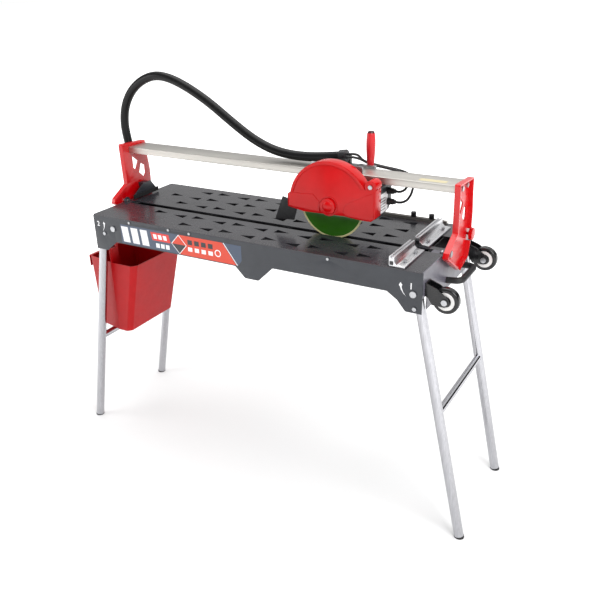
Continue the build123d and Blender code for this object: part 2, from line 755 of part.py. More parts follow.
with BuildPart() as motor_rotor:
    with BuildSketch(front_plane(FRONT + 260)):
        with Locations((BLADE_X, BLADE_Z)):
            Circle(18)
            Circle(7, mode=Mode.SUBTRACT)
    extrude(amount=52)
save(motor_rotor, "motor_rotor")

with BuildPart() as motor_bearings:
    for y in (MOTOR_FRONT + 12, MOTOR_BACK - 4):
        with BuildSketch(front_plane(y)):
            with Locations((BLADE_X, BLADE_Z)):
                Circle(16)
                Circle(6.05, mode=Mode.SUBTRACT)
        extrude(amount=8)
save(motor_bearings, "motor_bearings")

with BuildPart() as arbor_shaft:
    for y_back, radius, length in ((FRONT + 286, 6, 140), (FRONT + 270, 7, 74)):
        with BuildSketch(front_plane(y_back)):
            with Locations((BLADE_X, BLADE_Z)):
                Circle(radius)
        extrude(amount=length)
save(arbor_shaft, "arbor_shaft")

with BuildPart() as saw_blade:
    with BuildSketch(front_plane(GROOVE_Y + BLADE_T / 2)):
        with Locations((BLADE_X, BLADE_Z)):
            Circle(BLADE_R)
            Circle(6, mode=Mode.SUBTRACT)
    extrude(amount=BLADE_T)
save(saw_blade, "saw_blade")

with BuildPart() as blade_flanges:
    for y_back, radius, length in ((GROOVE_Y + BLADE_T / 2 + 5, 24, 5),
                                   (GROOVE_Y - BLADE_T / 2, 24, 5),
                                   (GROOVE_Y - BLADE_T / 2 - 5, 9, 6)):
        with BuildSketch(front_plane(y_back)):
            with Locations((BLADE_X, BLADE_Z)):
                Circle(radius)
                Circle(6, mode=Mode.SUBTRACT)
        extrude(amount=length)
save(blade_flanges, "blade_flanges")

LUG = (LEFT + 903, 960)
with BuildPart() as blade_guard:
    with BuildSketch(front_plane(GUARD_BACK)) as profile:
        with Locations((BLADE_X, BLADE_Z)):
            Circle(GUARD_R)
        with Locations((BLADE_X, BLADE_Z - 150)):
            Rectangle(300, 283, mode=Mode.SUBTRACT)
        Polygon((LEFT + 643, 874), (LEFT + 643, 912), (LEFT + 653, 919), (LEFT + 885, 948),
                LUG, (LEFT + 918, 950), (LEFT + 918, 873), (LEFT + 906, 863),
                (LEFT + 876, 863), (LEFT + 821, 868), (LEFT + 695, 865), align=None)
        with Locations(LUG):
            Circle(17)
    extrude(amount=GUARD_BACK - GUARD_FRONT)
    with BuildSketch(front_plane(GUARD_BACK - GUARD_WALL)):
        with Locations((BLADE_X, BLADE_Z)):
            Circle(GUARD_R - GUARD_WALL)
        with Locations((BLADE_X, BLADE_Z - 150)):
            Rectangle(300, 283, mode=Mode.SUBTRACT)
        Polygon((LEFT + 656, 850), (LEFT + 656, 918), (LEFT + 888, 940), (LEFT + 912, 940),
                (LEFT + 912, 872), (LEFT + 900, 850), align=None)
    extrude(amount=GUARD_BACK - GUARD_FRONT - 2 * GUARD_WALL, mode=Mode.SUBTRACT)
    with BuildSketch(front_plane(GUARD_FRONT)):
        with Locations((BLADE_X, BLADE_Z)):
            Circle(23)
    extrude(amount=8)
    with BuildSketch(front_plane(GUARD_BACK)):
        with Locations((BLADE_X, BLADE_Z)):
            Circle(10)
    extrude(amount=GUARD_WALL, mode=Mode.SUBTRACT)
    with BuildSketch(front_plane(MOTOR_FRONT)):
        with Locations((LEFT + 725, 925), (LEFT + 840, 925)):
            Circle(9)
    extrude(amount=MOTOR_FRONT - GUARD_BACK)
    with BuildSketch(front_plane(GUARD_FRONT)):
        with Locations(LUG):
            Circle(3)
    extrude(amount=-16, mode=Mode.SUBTRACT)
save(blade_guard, "blade_guard")

with BuildPart() as guard_screw:
    with BuildSketch(front_plane(GUARD_FRONT)):
        with Locations(LUG):
            Circle(6)
    extrude(amount=4)
    with BuildSketch(front_plane(GUARD_FRONT + 14)):
        with Locations(LUG):
            Circle(3)
    extrude(amount=14)
save(guard_screw, "guard_screw")

with BuildPart() as splash_flap:
    with BuildSketch(front_plane(FRONT + 149)):
        Polygon((LEFT + 593, 827), (LEFT + 620, 898), (LEFT + 642, 893), (LEFT + 642, 873),
                (LEFT + 667, 864), (LEFT + 657, 831), align=None)
    extrude(amount=3)
    with BuildSketch(end_plane(LEFT + 640)):
        with Locations((FRONT + 157, 893)):
            Rectangle(30, 24)
    extrude(amount=3)
save(splash_flap, "splash_flap")

with BuildPart() as handle_grip:
    with BuildSketch(Plane.XZ.offset(-HANDLE[1])):
        with BuildLine():
            Polyline((HANDLE[0], 943), (HANDLE[0] + 9, 943), (HANDLE[0] + 9, 950))
            Spline((HANDLE[0] + 9, 950), (HANDLE[0] + 11, 985), (HANDLE[0] + 13.5, 1030),
                   (HANDLE[0] + 11.5, 1064))
            Polyline((HANDLE[0] + 11.5, 1064), (HANDLE[0] + 8, 1071), (HANDLE[0], 1072),
                     (HANDLE[0], 943))
        make_face()
    revolve(axis=Axis((HANDLE[0], HANDLE[1], 0), (0, 0, 1)))
save(handle_grip, "handle_grip")

hose_end = Vector(*hose_points[-1])
end_way = (hose_end - Vector(*hose_points[-2])).normalized()
with BuildPart() as hose_clamp:
    with BuildSketch(Plane(origin=hose_end - end_way * 14, z_dir=end_way)):
        Circle(HOSE_R + 4)
        Circle(HOSE_R + 0.4, mode=Mode.SUBTRACT)
    extrude(amount=18)
    with BuildSketch(Plane(origin=hose_end + end_way * 1, z_dir=end_way)):
        Circle(HOSE_R + 4)
    extrude(amount=6)
    with BuildSketch(Plane.XY.offset(978)):
        with Locations((LEFT + 766, FRONT + 288)):
            Rectangle(12, 12)
    extrude(amount=26)
    with BuildSketch(Plane(origin=hose_end - end_way * 15, z_dir=end_way)):
        Circle(HOSE_R + 0.4)
    extrude(amount=16, mode=Mode.SUBTRACT)
save(hose_clamp, "hose_clamp")

GLANDS = ((FRONT + 265, 918), (FRONT + 265, 887))
with BuildPart() as cable_glands:
    for start, radius, length in ((-4, 6, 5), (0, 10, 8), (8, 8.5, 10), (18, 6.5, 6)):
        with BuildSketch(end_plane(MOTOR_RIGHT + start)):
            with Locations(*GLANDS):
                Circle(radius)
        extrude(amount=length)
save(cable_glands, "cable_glands")

UPPER_CABLE = [(924, 265, 918), (938, 265, 918), (949, 272, 924), (952, 289, 935),
               (944, 308, 946), (926, 322, 954), (900, 331, 959), (868, 335, 962),
               (836, 336, 965), (815, 332, 969), (806, 319, 977), (805, 300, 987),
               (798, 280, 997), (785, 264, 1003), (770.45, 260, 1002)]
LOWER_CABLE = [(924, 265, 887), (941, 265, 887), (955, 271, 893), (962, 285, 907),
               (961, 304, 925), (952, 323, 941), (936, 338, 951), (911, 347, 956),
               (880, 350, 959), (848, 350, 962), (820, 346, 967), (802, 334, 974),
               (794, 317, 984), (795, 300, 996), (794, 284, 1006), (785, 273, 1010),
               (769.55, 270, 1008)]
save(tube_along(placed(UPPER_CABLE), CABLE_R, "motor_cable"), "motor_cable")
save(tube_along(placed(LOWER_CABLE), CABLE_R, "switch_cable"), "switch_cable")

# Water bin hung on the left end, with its pump.
BIN_TOP = ((-105, 62), (5, 42), (92, 42), (106, 60), (106, 285), (-105, 285))
BIN_FLOOR = ((-97, 68), (0, 48), (34, 48), (46, 62), (46, 276), (-97, 276))
BIN_WALL = 3


def bin_section(points, height, inset):
    """A bin cross-section at a height, drawn in by an inset."""
    with BuildSketch(Plane.XY.offset(height)) as section:
        Polygon(*[(LEFT + x, FRONT + y) for x, y in points], align=None)
        offset(amount=-inset, mode=Mode.REPLACE)
        fillet(section.vertices(), radius=9)
    return section.sketch


outer = [bin_section(BIN_FLOOR, BIN_LOW, 0.01), bin_section(BIN_TOP, BIN_RIM, 0.01)]
inner = [bin_section(BIN_FLOOR, BIN_LOW + BIN_WALL, BIN_WALL),
         bin_section(BIN_TOP, BIN_RIM + 1, BIN_WALL)]
with BuildPart() as water_bin:
    loft(outer)
    loft(inner, mode=Mode.SUBTRACT)
    for hook_y in HOOK_Y:
        with BuildSketch(end_plane(LEFT + 4)):
            with Locations((hook_y, (BIN_RIM - 25 + HOOK_Z + 13) / 2)):
                Rectangle(38, HOOK_Z + 38 - BIN_RIM)
            with Locations((hook_y, HOOK_Z - 10)):
                Rectangle(22, 26.6, mode=Mode.SUBTRACT)
        extrude(amount=5)
    with BuildSketch(front_plane(FRONT + 275)):
        Polygon((LEFT - 102, BIN_RIM), (LEFT - 119, BIN_RIM - 3), (LEFT - 119, BIN_RIM - 42),
                (LEFT - 116, BIN_RIM - 42), (LEFT - 116, BIN_RIM - 6),
                (LEFT - 102, BIN_RIM - 3), align=None)
    extrude(amount=205)
save(water_bin, "water_bin")

with BuildPart() as water_pump:
    with BuildSketch(Plane.XY.offset(BIN_LOW + BIN_WALL + 0.5)):
        with Locations((LEFT - 20, FRONT + 200)):
            RectangleRounded(60, 50, 8)
    extrude(amount=58)
    with BuildSketch(Plane.XY.offset(BIN_LOW + 60)):
        with Locations((LEFT - 20, FRONT + 200)):
            Circle(7)
    extrude(amount=24)
save(water_pump, "water_pump")
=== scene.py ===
import json
from math import cos, pi, radians, sin

import bpy
from mathutils import Matrix, Vector


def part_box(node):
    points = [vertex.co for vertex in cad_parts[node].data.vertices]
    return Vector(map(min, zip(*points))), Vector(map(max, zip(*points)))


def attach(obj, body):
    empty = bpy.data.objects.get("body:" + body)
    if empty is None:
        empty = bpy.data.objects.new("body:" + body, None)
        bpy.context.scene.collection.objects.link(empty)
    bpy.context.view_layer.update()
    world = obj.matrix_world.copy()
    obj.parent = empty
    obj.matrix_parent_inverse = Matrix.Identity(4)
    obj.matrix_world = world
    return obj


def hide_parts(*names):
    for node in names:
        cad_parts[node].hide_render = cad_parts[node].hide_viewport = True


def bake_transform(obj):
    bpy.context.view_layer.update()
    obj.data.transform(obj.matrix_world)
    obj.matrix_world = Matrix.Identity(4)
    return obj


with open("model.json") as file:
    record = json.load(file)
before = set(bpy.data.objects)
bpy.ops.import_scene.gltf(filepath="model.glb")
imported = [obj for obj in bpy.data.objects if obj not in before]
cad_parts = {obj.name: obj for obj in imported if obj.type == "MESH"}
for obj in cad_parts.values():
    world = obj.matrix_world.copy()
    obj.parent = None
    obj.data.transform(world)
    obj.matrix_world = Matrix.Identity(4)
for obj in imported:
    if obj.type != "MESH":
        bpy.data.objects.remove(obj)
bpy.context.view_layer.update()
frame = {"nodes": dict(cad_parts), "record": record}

MM = 0.001

# Places, all read from the frame.
skirt_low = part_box("front_skirt")[0]
LEFT = skirt_low.x
FRONT = skirt_low.y
blade_low, blade_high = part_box("saw_blade")
BLADE = (blade_low + blade_high) / 2
BLADE_R = (blade_high.x - blade_low.x) / 2
beam_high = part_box("beam")[1]
motor_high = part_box("motor_housing")[1]
grip_low, grip_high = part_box("handle_grip")

GUARD_FACE = FRONT + 138 * MM
DOME_FACE = FRONT + 131 * MM
DOME_R = 16 * MM
DOME_CROWN = 0.35


def at(x, y, z):
    """A point measured in millimetres from the table's front left corner and the floor."""
    return Vector((LEFT + x * MM, FRONT + y * MM, z * MM))


# Camera
CAMERA_PLACE = (1.143977, -1.830149, 1.512746)
CAMERA_TURN = 30.212
CAMERA_DROP = 24.466
CAMERA_ROLL = -1.457
camera_data = bpy.data.cameras.new("camera")
camera_data.lens = 44.424
camera_data.sensor_width = 36
camera = bpy.data.objects.new("camera", camera_data)
bpy.context.scene.collection.objects.link(camera)
camera.matrix_world = (Matrix.Translation(CAMERA_PLACE)
                       @ Matrix.Rotation(radians(CAMERA_TURN), 4, "Z")
                       @ Matrix.Rotation(radians(90 - CAMERA_DROP), 4, "X")
                       @ Matrix.Rotation(radians(CAMERA_ROLL), 4, "Z"))
bpy.context.scene.camera = camera


# Small helpers for shapes
def clear_selection():
    """Leave nothing selected, in object mode."""
    if bpy.context.object and bpy.context.object.mode != "OBJECT":
        bpy.ops.object.mode_set(mode="OBJECT")
    bpy.ops.object.select_all(action="DESELECT")


def pick(piece):
    """Make one object selected and active."""
    clear_selection()
    piece.select_set(True)
    bpy.context.view_layer.objects.active = piece


def modify(piece, kind, **settings):
    """Add a modifier with its settings and apply it."""
    pick(piece)
    added = piece.modifiers.new(kind.lower(), kind)
    for key, value in settings.items():
        setattr(added, key, value)
    bpy.ops.object.modifier_apply(modifier=added.name)


def finish_piece(piece, name, body, look, smooth=30):
    """Apply a piece's place, smooth its round faces, and give it its name, body and finish."""
    pick(piece)
    bpy.ops.object.transform_apply(location=True, rotation=True, scale=True)
    bpy.ops.object.shade_smooth_by_angle(angle=radians(smooth))
    piece.name = name
    piece.data.name = name
    piece.data.materials.clear()
    piece.data.materials.append(look)
    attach(piece, body)
    return piece


# Hose: one stiff conduit that arches from the left upright to the moving head.
HOSE_R = 14 * MM
HOSE_ROUTE = [(-41, 249, 955), (-51, 250, 1000), (-53, 250, 1047), (-40, 250, 1098),
              (-9, 251, 1145), (37, 252, 1180), (94, 253, 1200), (154, 255, 1194),
              (225, 257, 1166), (300, 259, 1125), (378, 261, 1071), (455, 263, 1023),
              (528, 264, 996), (602, 265, 988), (682, 265, 992), (763, 265, 1004)]


def route_curve(route, name):
    """An open NURBS curve of order 3 whose control points are a cord's route."""
    data = bpy.data.curves.new(name, "CURVE")
    data.dimensions = "3D"
    data.resolution_u = 10
    spline = data.splines.new("NURBS")
    spline.points.add(len(route) - 1)
    for point, place in zip(spline.points, route):
        point.co = (*place, 1)
    spline.order_u = 3
    spline.use_endpoint_u = True
    curve = bpy.data.objects.new(name, data)
    bpy.context.scene.collection.objects.link(curve)
    return curve


hose = route_curve([at(*p) for p in HOSE_ROUTE], "conduit_hose")
bpy.context.view_layer.update()
line = bpy.data.meshes.new_from_object(hose)
hose.data.bevel_depth = HOSE_R
hose.data.bevel_resolution = 8
hose.data.use_fill_caps = True
pick(hose)
bpy.ops.object.convert(target="MESH")
hose = bpy.context.object
bpy.ops.object.shade_smooth()


# Materials
def colour(hex_value):
    """An sRGB hex colour as linear red, green, blue and alpha."""
    parts = [int(hex_value[i:i + 2], 16) / 255 for i in (1, 3, 5)]
    return (*[c / 12.92 if c <= 0.04045 else ((c + 0.055) / 1.055) ** 2.4 for c in parts], 1)


def add(tree, kind, inputs=(), **settings):
    """Add a shader node, set its settings, and set or link its inputs."""
    made = tree.nodes.new("ShaderNode" + kind)
    for key, value in settings.items():
        setattr(made, key, value)
    for key, value in dict(inputs).items():
        if isinstance(value, bpy.types.NodeSocket):
            tree.links.new(value, made.inputs[key])
        else:
            made.inputs[key].default_value = value
    return made


def material(name, base, rough, metallic=0.0, **sockets):
    """A named material with its shader's own values; returns it, its tree and its shader."""
    made = bpy.data.materials.new(name)
    made.use_nodes = True
    tree = made.node_tree
    shader = tree.nodes["Principled BSDF"]
    shader.inputs["Base Color"].default_value = colour(base)
    shader.inputs["Roughness"].default_value = rough
    shader.inputs["Metallic"].default_value = metallic
    for socket, value in sockets.items():
        shader.inputs[socket.replace("_", " ")].default_value = value
    return made, tree, shader


def grain(tree, size_mm, stretch=(1, 1, 1), detail=3.0):
    """Noise on object coordinates whose features are about size_mm across."""
    place = add(tree, "TexCoord").outputs["Object"]
    spread = add(tree, "Mapping", {"Vector": place, "Scale": stretch}).outputs["Vector"]
    return add(tree, "TexNoise", {"Vector": spread, "Scale": 1000 / size_mm, "Detail": detail})


def tint(tree, shader, pattern, first, second, low=0.35, high=0.65):
    """Vary the base colour between two hex colours with a pattern."""
    ramp = add(tree, "ValToRGB", {"Fac": pattern})
    ramp.color_ramp.elements[0].position = low
    ramp.color_ramp.elements[0].color = colour(first)
    ramp.color_ramp.elements[1].position = high
    ramp.color_ramp.elements[1].color = colour(second)
    tree.links.new(ramp.outputs["Color"], shader.inputs["Base Color"])
    return ramp


def relief(tree, shader, pattern, depth_mm, strength=1.0):
    """Raise the surface by a pattern up to depth_mm."""
    bump = add(tree, "Bump", {"Height": pattern, "Distance": depth_mm * MM,
                              "Strength": strength})
    tree.links.new(bump.outputs["Normal"], shader.inputs["Normal"])


def gloss(tree, shader, pattern, low, high):
    """Vary the roughness between two values with a pattern."""
    spread = add(tree, "MapRange", {"Value": pattern, "From Min": 0.3, "From Max": 0.7,
                                    "To Min": low, "To Max": high})
    tree.links.new(spread.outputs["Result"], shader.inputs["Roughness"])


def powder_coat(name, base, other, low, high):
    """Polyester powder coat on folded steel: faint orange peel and a slightly uneven gloss."""
    made, tree, shader = material(name, base, low, Coat_Weight=0.1, Coat_Roughness=0.12)
    tint(tree, shader, grain(tree, 60).outputs["Fac"], base, other)
    gloss(tree, shader, grain(tree, 25).outputs["Fac"], low, high)
    relief(tree, shader, grain(tree, 1.6).outputs["Fac"], 0.06, 0.35)
    return made


def moulded(name, base, other, low, high, grain_mm=0.9, depth_mm=0.012):
    """Injection-moulded ABS: an even colour with a fine moulded texture and soft gloss."""
    made, tree, shader = material(name, base, low, IOR=1.53)
    tint(tree, shader, grain(tree, 45).outputs["Fac"], base, other)
    gloss(tree, shader, grain(tree, 12).outputs["Fac"], low, high)
    relief(tree, shader, grain(tree, grain_mm).outputs["Fac"], depth_mm, 0.2)
    return made


def drawn_metal(name, base, other, low, high, along, streak_mm=0.7, anisotropic=0.3):
    """Bright metal with fine draw lines along one axis, drawn coarse enough to show."""
    stretch = tuple(0.02 if axis == along else 1 for axis in "XYZ")
    made, tree, shader = material(name, base, low, 1.0, Anisotropic=anisotropic)
    streaks = grain(tree, streak_mm, stretch, 2.0).outputs["Fac"]
    tint(tree, shader, streaks, base, other, 0.3, 0.7)
    gloss(tree, shader, streaks, low, high)
    relief(tree, shader, streaks, 0.01, 0.3)
    return made


def rubber(name, base, other, low, high):
    """Black rubber: nearly matte, with a fine skin and pale scuffs."""
    made, tree, shader = material(name, base, low)
    tint(tree, shader, grain(tree, 9).outputs["Fac"], base, other)
    gloss(tree, shader, grain(tree, 5).outputs["Fac"], low, high)
    relief(tree, shader, grain(tree, 0.8).outputs["Fac"], 0.05, 0.5)
    return made


slate_coat = powder_coat("slate_powder_coated_steel", "#2a2d33", "#2f3238", 0.34, 0.44)
table_coat = powder_coat("gloss_slate_powder_coated_table", "#2b2a2f", "#313035", 0.2, 0.3)
# The right end plate is a lighter grey than the slate of the left end plate and the skirts. This
# is painted light: it stands for the key light falling on the right end.
right_end_painted_light_coat = powder_coat("grey_powder_coated_steel", "#57555f", "#5f5d68", 0.3, 0.4)
# The water tray's near black is partly its dark coat and partly painted shade: the shade under
# the perforated tables, seen through their holes.
tray_painted_shade_coat = powder_coat("dark_coated_tray", "#121316", "#1a1b1f", 0.4, 0.5)
red_coat = powder_coat("red_gloss_powder_coat", "#be0008", "#c8040c", 0.16, 0.26)
fork_coat = powder_coat("black_powder_coated_fork", "#0d0d0f", "#151517", 0.22, 0.32)
guard_red = moulded("red_abs_guard", "#b80205", "#c00409", 0.14, 0.22)
bin_red = moulded("red_polypropylene_bin", "#a80006", "#b00209", 0.34, 0.44, 1.2, 0.012)
motor_grey = moulded("charcoal_glass_filled_nylon", "#222328", "#2b2c31", 0.38, 0.5, 1.1, 0.06)
black_plastic = moulded("black_nylon", "#0e0e10", "#17171a", 0.3, 0.42)
anodised = drawn_metal("satin_anodised_aluminium", "#b9b6b0", "#c9c6c0", 0.34, 0.44, "X")
anodised_stop = drawn_metal("bright_anodised_aluminium_stop", "#c9c9cc", "#dcdcde", 0.24, 0.36,
                            "Y")
leg_chrome = drawn_metal("chrome_plated_tube", "#a9a9ad", "#bcbcc0", 0.07, 0.14, "Z", 2.0, 0.0)
zinc = drawn_metal("zinc_plated_steel", "#a7a8ab", "#bcbdc0", 0.25, 0.38, "Z", 1.2, 0.0)
dark_rubber = rubber("black_rubber", "#101012", "#1b1b1d", 0.5, 0.66)
tyre_rubber = rubber("polished_tyre_rubber", "#0a0a0b", "#111113", 0.16, 0.26)
conduit = rubber("black_pvc_conduit", "#040405", "#0a0a0b", 0.3, 0.42)
SOFT_SHEEN = 0.25
for sheened in (guard_red, bin_red, conduit):
    shader = sheened.node_tree.nodes["Principled BSDF"]
    shader.inputs["Specular IOR Level"].default_value = SOFT_SHEEN


def ink(name, base):
    """Screen-printed ink under a clear film: flat colour, a little gloss and fine print dots."""
    made, tree, shader = material(name, base, 0.35, Coat_Weight=0.3, Coat_Roughness=0.1)
    relief(tree, shader, grain(tree, 0.6).outputs["Fac"], 0.01, 0.25)
    gloss(tree, shader, grain(tree, 15).outputs["Fac"], 0.3, 0.42)
    return made


ink_blue = ink("slate_blue_ink", "#38465c")
ink_orange = ink("orange_red_ink", "#cf3610")
ink_white = ink("white_ink", "#e8e8ea")
ink_black = ink("black_ink", "#17171b")
ink_red = ink("red_ink", "#d2241a")
ink_cream = ink("cream_film", "#c9bd93")


def centred(tree, centre, axes):
    """The distance from a line through a centre; axes gives 1 for each axis that counts."""
    place = add(tree, "TexCoord").outputs["Object"]
    moved = add(tree, "VectorMath", {0: place, 1: centre}, operation="SUBTRACT").outputs["Vector"]
    flat = add(tree, "VectorMath", {0: moved, 1: axes}, operation="MULTIPLY").outputs["Vector"]
    return add(tree, "VectorMath", {0: flat}, operation="LENGTH").outputs["Value"]


def blade_look():
    """A sintered diamond disc: green enamel on the steel core, a pale gold diamond rim."""
    made, tree, shader = material("green_enamelled_diamond_blade", "#2c5c14", 0.12,
                                  Coat_Weight=0.6, Coat_Roughness=0.06)
    away = centred(tree, BLADE, (1, 0, 1))
    ramp = add(tree, "ValToRGB", {"Fac": add(tree, "Math", {0: away, 1: BLADE_R},
                                             operation="DIVIDE").outputs["Value"]})
    stops = ((0.0, "#b9b9b4"), (0.20, "#b9b9b4"), (0.205, "#2f6417"), (0.6, "#28580f"),
             (0.945, "#2f6417"), (0.95, "#d6cf9e"), (1.0, "#c6bf8c"))
    ramp.color_ramp.elements[0].color = colour(stops[0][1])
    ramp.color_ramp.elements[1].position = stops[-1][0]
    ramp.color_ramp.elements[1].color = colour(stops[-1][1])
    for position, shade in stops[1:-1]:
        ramp.color_ramp.elements.new(position).color = colour(shade)
    tree.links.new(ramp.outputs["Color"], shader.inputs["Base Color"])
    relief(tree, shader, grain(tree, 1.5).outputs["Fac"], 0.02, 0.3)
    return made


def hub_look(wheel):
    """A white nylon wheel centre with a black core."""
    made, tree, shader = material("white_nylon_wheel_centre", "#e2e0de", 0.3)
    low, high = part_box(wheel)
    away = centred(tree, (low + high) / 2, (1, 0, 1))
    ramp = add(tree, "ValToRGB", {"Fac": add(tree, "Math", {0: away, 1: (high.x - low.x) / 2},
                                             operation="DIVIDE").outputs["Value"]})
    ramp.color_ramp.interpolation = "CONSTANT"
    ramp.color_ramp.elements[0].color = colour("#141416")
    ramp.color_ramp.elements[1].position = 0.62
    ramp.color_ramp.elements[1].color = colour("#dedcda")
    tree.links.new(ramp.outputs["Color"], shader.inputs["Base Color"])
    relief(tree, shader, grain(tree, 1.2).outputs["Fac"], 0.03, 0.3)
    return made


def grip_look():
    """Red dipped vinyl over the steel handle, with a dark cap pressed into its top."""
    made, tree, shader = material("red_vinyl_grip", "#c4121c", 0.34)
    place = add(tree, "TexCoord").outputs["Object"]
    height = add(tree, "SeparateXYZ", {"Vector": place}).outputs["Z"]
    up = add(tree, "MapRange", {"Value": height, "From Min": grip_low.z,
                                "From Max": grip_high.z}).outputs["Result"]
    ramp = add(tree, "ValToRGB", {"Fac": up})
    ramp.color_ramp.elements[0].color = colour("#c4121c")
    ramp.color_ramp.elements[1].position = 0.965
    ramp.color_ramp.elements[1].color = colour("#3a1116")
    ramp.color_ramp.elements.new(0.94).color = colour("#cf1822")
    tree.links.new(ramp.outputs["Color"], shader.inputs["Base Color"])
    relief(tree, shader, grain(tree, 1.0).outputs["Fac"], 0.05, 0.4)
    return made


blade_green = blade_look()
wheel_white = hub_look("front_wheel_hub")
grip_red = grip_look()

LOOKS = {
    slate_coat: ["front_skirt", "rear_skirt", "left_end_plate", "splash_deflector"],
    table_coat: ["front_table_plate", "rear_table_plate"],
    right_end_painted_light_coat: ["right_end_plate"],
    tray_painted_shade_coat: ["water_tray"],
    red_coat: ["left_upright", "right_upright"],
    fork_coat: ["wheel_brackets"],
    guard_red: ["blade_guard", "lock_knob"],
    bin_red: ["water_bin"],
    motor_grey: ["motor_housing"],
    black_plastic: ["cable_glands", "rule_knob_left", "rule_knob_right", "switch_rocker",
                    "roller_left", "roller_right", "water_pump", "hose_clamp", "hose_gland"],
    anodised: ["beam", "rule_bar"],
    anodised_stop: ["front_fence", "rear_fence"],
    leg_chrome: ["left_front_leg", "left_rear_leg", "right_front_leg", "right_rear_leg",
                 "left_crossbar", "right_crossbar"],
    zinc: ["frame_screws", "leg_bolts", "beam_bolts", "bridge_pins", "wheel_axles",
           "guard_screw", "carriage_frame", "arbor_shaft", "blade_flanges", "motor_bearings",
           "motor_rotor", "motor_stator"],
    dark_rubber: ["left_feet", "right_feet", "carry_handle", "deflector_lip", "splash_flap",
                  "motor_cable", "switch_cable"],
    tyre_rubber: ["front_tyre", "rear_tyre"],
    conduit: ["hose"],
    blade_green: ["saw_blade"],
    wheel_white: ["front_wheel_hub", "rear_wheel_hub"],
    grip_red: ["handle_grip"],
}
look_of = {node: look for look, nodes in LOOKS.items() for node in nodes}
for node, look in look_of.items():
    for place in frame["nodes"][node].material_slots:
        place.material = look
    if not frame["nodes"][node].material_slots:
        frame["nodes"][node].data.materials.append(look)

hose.name = "conduit_hose"
hose.data.materials.clear()
hose.data.materials.append(conduit)
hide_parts("hose")
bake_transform(hose)

# Folded, pressed and moulded pieces get the rounded edges that the real ones have.
body_of = {node: body for body, nodes in frame["record"]["behaviour"]["bodies"].items()
           for node in nodes}


def soften(node, name, width_mm, segments=3, angle=35):
    """A merged copy of a CAD node with its sharp edges rounded, which stands for it."""
    piece = frame["nodes"][node].copy()
    piece.data = frame["nodes"][node].data.copy()
    for key in list(piece.keys()):
        del piece[key]
    piece.parent = None
    bpy.context.scene.collection.objects.link(piece)
    pick(piece)
    bpy.ops.object.mode_set(mode="EDIT")
    bpy.ops.mesh.select_all(action="SELECT")
    bpy.ops.mesh.remove_doubles(threshold=0.00001)
    bpy.ops.mesh.customdata_custom_splitnormals_clear()
    bpy.ops.object.mode_set(mode="OBJECT")
    modify(piece, "BEVEL", width=width_mm * MM, segments=segments, limit_method="ANGLE",
           angle_limit=radians(angle), use_clamp_overlap=True)
    modify(piece, "TRIANGULATE", ngon_method="CLIP")
    finish_piece(piece, name, body_of[node], look_of[node], 40)
    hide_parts(node)
    return piece


ROUNDED = (("blade_guard", "guard_shell", 4.0), ("motor_housing", "motor_casing", 3.0),
           ("left_upright", "left_pressed_upright", 1.4),
           ("right_upright", "right_pressed_upright", 1.4),
           ("lock_knob", "tilt_lock_knob", 1.6), ("beam", "rail_extrusion", 1.2),
           ("front_fence", "front_stop_extrusion", 0.5),
           ("rear_fence", "rear_stop_extrusion", 0.5),
           ("wheel_brackets", "wheel_forks", 1.2), ("rule_knob_left", "left_clamp_knob", 1.0),
           ("rule_knob_right", "right_clamp_knob", 1.0),
           ("splash_flap", "rubber_splash_flap", 0.8), ("carriage_frame", "carriage_plate", 0.8),
           ("splash_deflector", "deflector_plate", 0.8), ("leg_bolts", "leg_bolt_heads", 0.8),
           ("frame_screws", "table_screw_heads", 0.7), ("cable_glands", "gland_nuts", 0.8),
           ("front_skirt", "front_folded_skirt", 0.8), ("rear_skirt", "rear_folded_skirt", 0.8),
           ("guard_screw", "guard_screw_head", 0.8))
for node, name, width_mm in ROUNDED:
    soften(node, name, width_mm)


# Flat pieces: the skirt's printed panel, the fold marks, two small labels, the raised parts
# of the guard and the fence plugs. Film gap and layer step are in millimetres.
FILM_GAP = 0.04
LAYER_STEP = 0.13


def flat_piece(name, outlines, look, layer=0, body="frame", face="front", place=None,
               thick_mm=0.12, edge_mm=0.0):
    """A plate or printed film cut to flat outlines, laid on a front, a right end or a top."""
    data = bpy.data.curves.new(name, "CURVE")
    data.dimensions = "2D"
    data.fill_mode = "BOTH"
    data.extrude = (thick_mm / 2 - edge_mm) * MM
    data.bevel_depth = edge_mm * MM
    data.offset = -edge_mm * MM
    data.bevel_resolution = 2
    for outline in outlines:
        spline = data.splines.new("POLY")
        spline.points.add(len(outline) - 1)
        for point, (across, up) in zip(spline.points, outline):
            point.co = (across * MM, up * MM, 0, 1)
        spline.use_cyclic_u = True
    piece = bpy.data.objects.new(name, data)
    bpy.context.scene.collection.objects.link(piece)
    pick(piece)
    bpy.ops.object.convert(target="MESH")
    piece = bpy.context.object
    proud = (FILM_GAP + thick_mm / 2 + LAYER_STEP * layer) * MM
    upright = Matrix.Rotation(pi / 2, 4, "X")
    if face == "front":
        spot = Matrix.Translation((LEFT, (FRONT if place is None else place) - proud, 0))
        piece.matrix_world = spot @ upright
    elif face == "right":
        spot = Matrix.Translation((place + proud, FRONT, 0))
        piece.matrix_world = spot @ Matrix.Rotation(pi / 2, 4, "Z") @ upright
    else:
        piece.matrix_world = Matrix.Translation((LEFT, FRONT, place + proud))
    return finish_piece(piece, name, body, look)


def bar(x, z, width, height, lean=0.0):
    """A block's outline from its lower left corner, leaning right by lean at its top."""
    return [(x, z), (x + width, z), (x + width + lean, z + height), (x + lean, z + height)]


def ring(x, z, radius, count=28):
    """A circle's outline."""
    return [(x + radius * cos(2 * pi * i / count), z + radius * sin(2 * pi * i / count))
            for i in range(count)]


